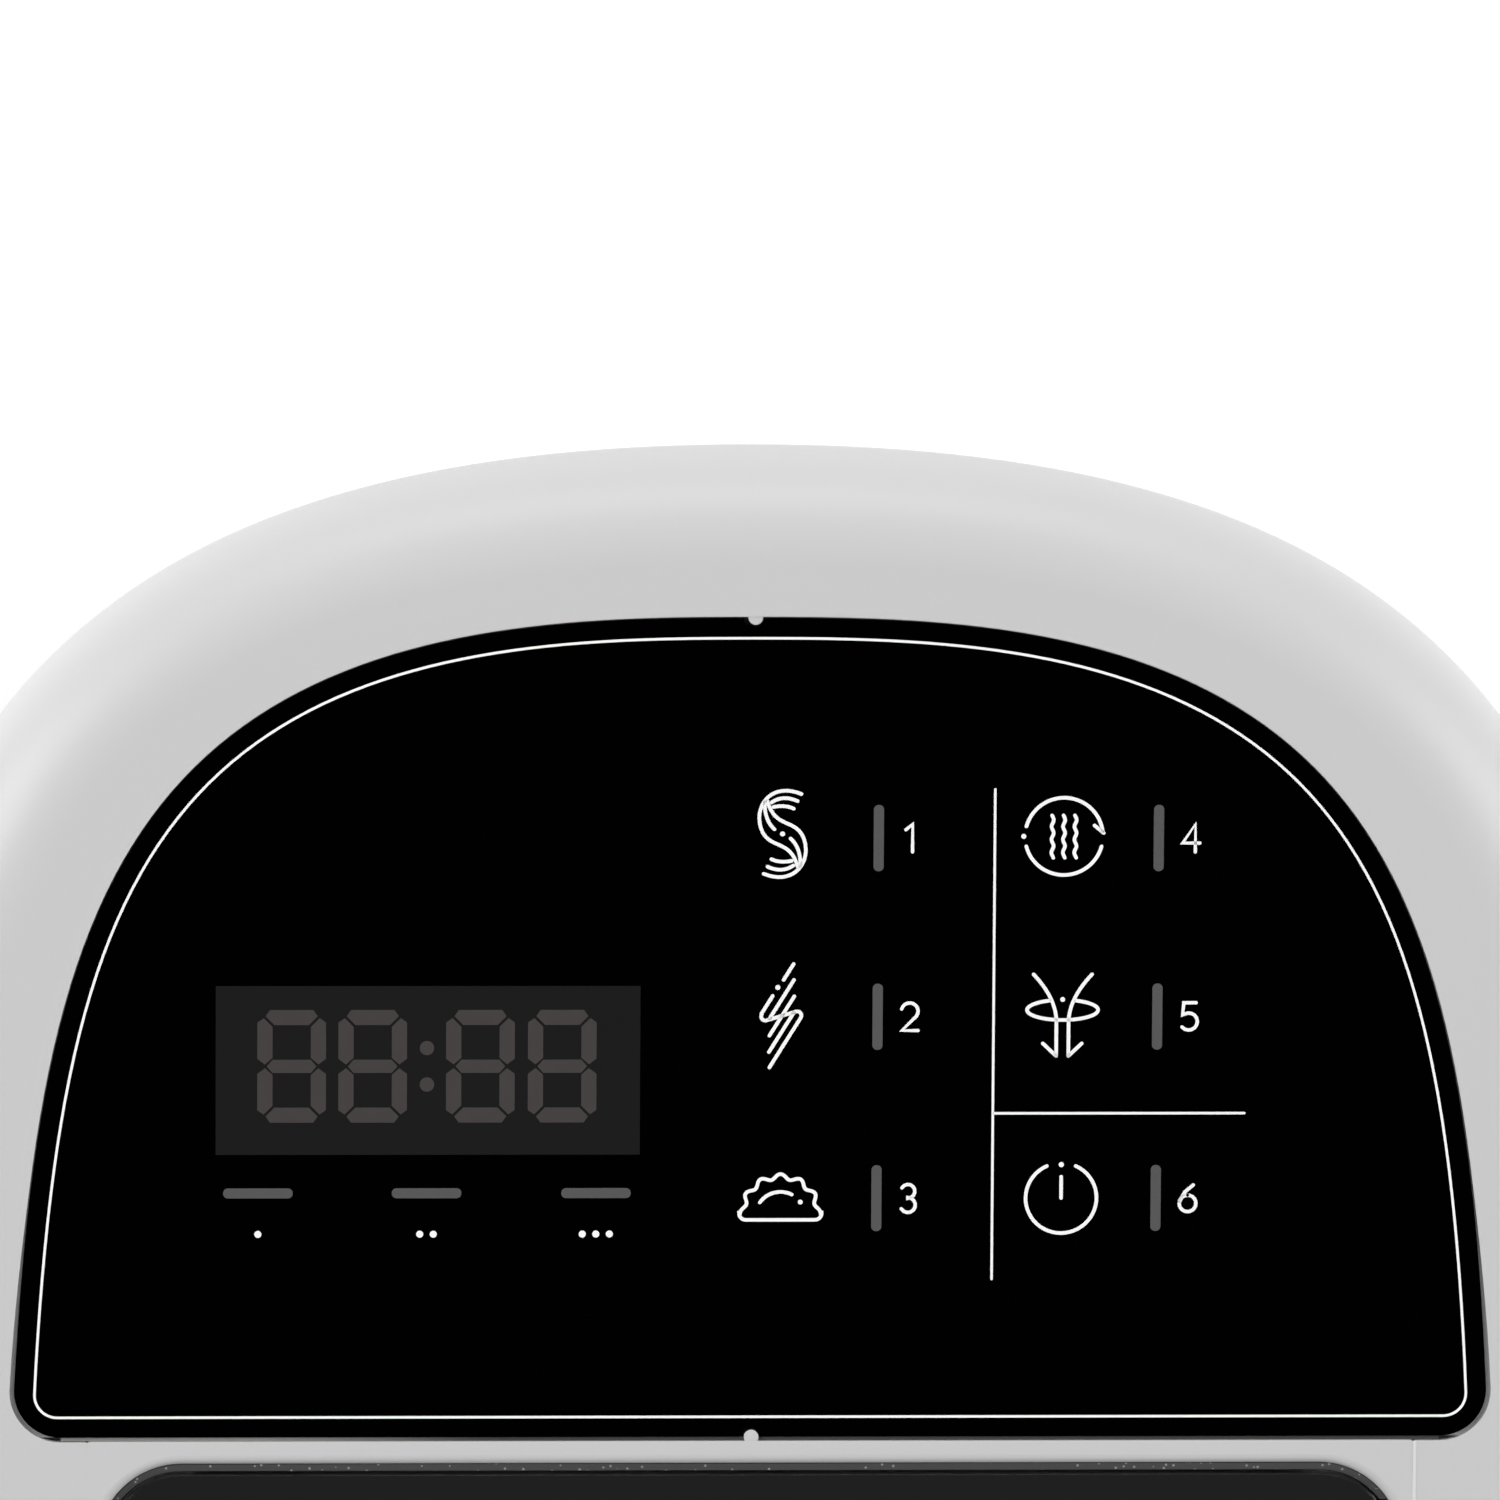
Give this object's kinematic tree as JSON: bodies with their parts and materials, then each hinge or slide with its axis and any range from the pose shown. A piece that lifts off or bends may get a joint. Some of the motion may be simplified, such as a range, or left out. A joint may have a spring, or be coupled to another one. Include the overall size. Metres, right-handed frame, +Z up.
{
  "type": "noodle maker",
  "caption": "Countertop automatic noodle maker with an arched touch panel, hinged smoke lid over the dough tank, front extruder with clamp nut, and a disc drawer in the base.",
  "frame": {"origin": "on the table, below the centre of the bounding box", "axes": "+Z up, +X to the right of a person facing the extruder, -Y out of the extruder's nose, so +Y points to the rear"},
  "size_m": [0.216, 0.345, 0.298],
  "materials": {
    "shell": "pale grey satin moulded plastic",
    "lower_shell": "pale grey satin moulded plastic, a shade darker",
    "base": "dark textured plastic",
    "feet": "matt rubber",
    "screws": "plated steel",
    "panel_glass": "gloss black back-printed panel",
    "touch_film": "printed film",
    "circuit_board": "green circuit board",
    "display": "dark display face with unlit segments",
    "diffuser": "milky grey light guide",
    "smoke_lid": "dark smoke clear plastic, glossy",
    "seals": "grey silicone",
    "dark_trim": "dark satin plastic",
    "tank": "grey polished food-grade plastic",
    "paddle": "dark glass-filled plastic",
    "discs": "natural acetal",
    "gears": "natural acetal with a film of grease",
    "heater_film": "amber polyimide heater film",
    "steel": "turned steel",
    "alloy": "die-cast light alloy",
    "inner_frame": "grey moulded plastic",
    "inlet": "black thermoset plastic"
  },
  "bodies": {
    "root": {"top_cover": "shell", "upper_housing": "shell", "lower_housing": "lower_shell", "base_plate": "base", "foot_front_left": "feet", "foot_front_right": "feet", "foot_rear_left": "feet", "foot_rear_right": "feet", "base_screw_front_left": "screws", "base_screw_front_right": "screws", "base_screw_rear_left": "screws", "base_screw_rear_right": "screws", "drawer_rail_left": "inner_frame", "drawer_rail_right": "inner_frame", "touch_panel": "panel_glass", "touch_foil": "touch_film", "control_board": "circuit_board", "display_module": "display", "progress_light_guide": "diffuser", "left_key_light_guide": "diffuser", "right_key_light_guide": "diffuser", "lid_surround": "shell", "lid_hinge_pin_left": "steel", "lid_hinge_pin_right": "steel", "lid_safety_switch": "dark_trim", "dough_tank": "tank", "shaft_seal": "seals", "ferment_heater": "heater_film", "temperature_sensor": "steel", "extrusion_barrel": "alloy", "barrel_seal": "seals", "front_plate": "shell", "shaping_disc": "discs", "front_stud_left": "steel", "front_stud_right": "steel", "intermediate_axle": "steel", "front_bearing": "steel", "rear_bearing": "steel", "gearbox_case": "alloy", "gearbox_cover": "alloy", "drive_motor": "alloy", "bulkhead": "inner_frame", "power_board": "circuit_board", "power_inlet": "inlet"},
    "lid": {"lid": "smoke_lid", "lid_seal": "seals"},
    "release_button": {"lid_release_button": "dark_trim"},
    "output_drive": {"kneading_paddle": "paddle", "extrusion_auger": "discs", "output_gear": "gears", "output_shaft": "steel"},
    "intermediate": {"intermediate_gear": "gears"},
    "motor_rotor": {"motor_shaft": "steel", "motor_pinion": "steel", "cooling_fan": "dark_trim"},
    "nut": {"clamp_nut": "dark_trim"},
    "knob_left": {"locking_knob_left": "dark_trim"},
    "knob_right": {"locking_knob_right": "dark_trim"},
    "drawer": {"disc_drawer": "lower_shell", "spare_disc": "discs"}
  },
  "joints": [
    {"name": "lid_hinge", "type": "hinge", "parent": "root", "child": "lid", "pos_m": [0, 0.04308, 0.27818], "axis": [-1, 0, 0], "range_deg": [0, 85]},
    {"name": "release_press", "type": "slide", "parent": "root", "child": "release_button", "axis": [0, 0.1392, -0.9903], "range_m": [0, 0.0025], "stiffness_N_per_m": 300},
    {"name": "output_spin", "type": "hinge", "parent": "root", "child": "output_drive", "pos_m": [0, 0, 0.178], "axis": [0, -1, 0], "continuous": true},
    {"name": "intermediate_spin", "type": "hinge", "parent": "root", "child": "intermediate", "pos_m": [-0.016, 0.06, 0.14575], "axis": [0, -1, 0], "continuous": true},
    {"name": "motor_spin", "type": "hinge", "parent": "root", "child": "motor_rotor", "pos_m": [0, 0.1, 0.1135], "axis": [0, -1, 0], "continuous": true},
    {"name": "nut_turn", "type": "hinge", "parent": "root", "child": "nut", "pos_m": [0, -0.155, 0.178], "axis": [0, -1, 0], "range_deg": [0, 60]},
    {"name": "knob_left_turn", "type": "hinge", "parent": "root", "child": "knob_left", "pos_m": [-0.066, -0.143, 0.178], "axis": [0, -1, 0], "range_deg": [0, 720]},
    {"name": "knob_right_turn", "type": "hinge", "parent": "root", "child": "knob_right", "pos_m": [0.066, -0.143, 0.178], "axis": [0, -1, 0], "range_deg": [0, 720]},
    {"name": "drawer_slide", "type": "slide", "parent": "root", "child": "drawer", "axis": [0, -1, 0], "range_m": [0, 0.11]}
  ],
  "couplings": [
    {"joint": "intermediate_spin", "follows": "output_spin", "ratio": -3},
    {"joint": "motor_spin", "follows": "output_spin", "ratio": 9}
  ]
}
